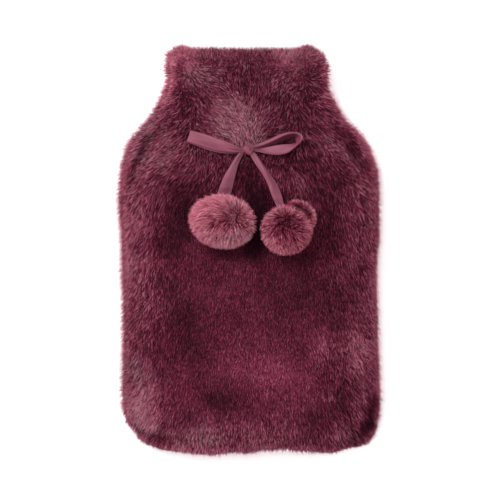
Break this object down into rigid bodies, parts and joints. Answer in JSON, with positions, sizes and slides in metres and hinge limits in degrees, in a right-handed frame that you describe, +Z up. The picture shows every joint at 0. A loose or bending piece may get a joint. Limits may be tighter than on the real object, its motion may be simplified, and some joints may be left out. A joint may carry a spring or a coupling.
{
  "type": "hot water bottle cover",
  "caption": "Plush burgundy faux-fur hot water bottle cover with an open neck, a satin ribbon bow and fur pompoms, lying on its back.",
  "frame": {"origin": "on the resting surface, under the middle of the cover's bounding box", "axes": "+Y along the cover from its closed bottom towards its open neck, +Z up out of the front panel, +X to the right as the front is seen from above"},
  "size_m": [0.2244, 0.3497, 0.085],
  "materials": {
    "fur": "matte",
    "satin": "satin",
    "pompom": "matte"
  },
  "bodies": {
    "root": {"front_panel": "fur", "back_panel": "fur", "ribbon_bow": "satin", "pompom_left": "pompom", "pompom_right": "pompom"}
  },
  "joints": []
}
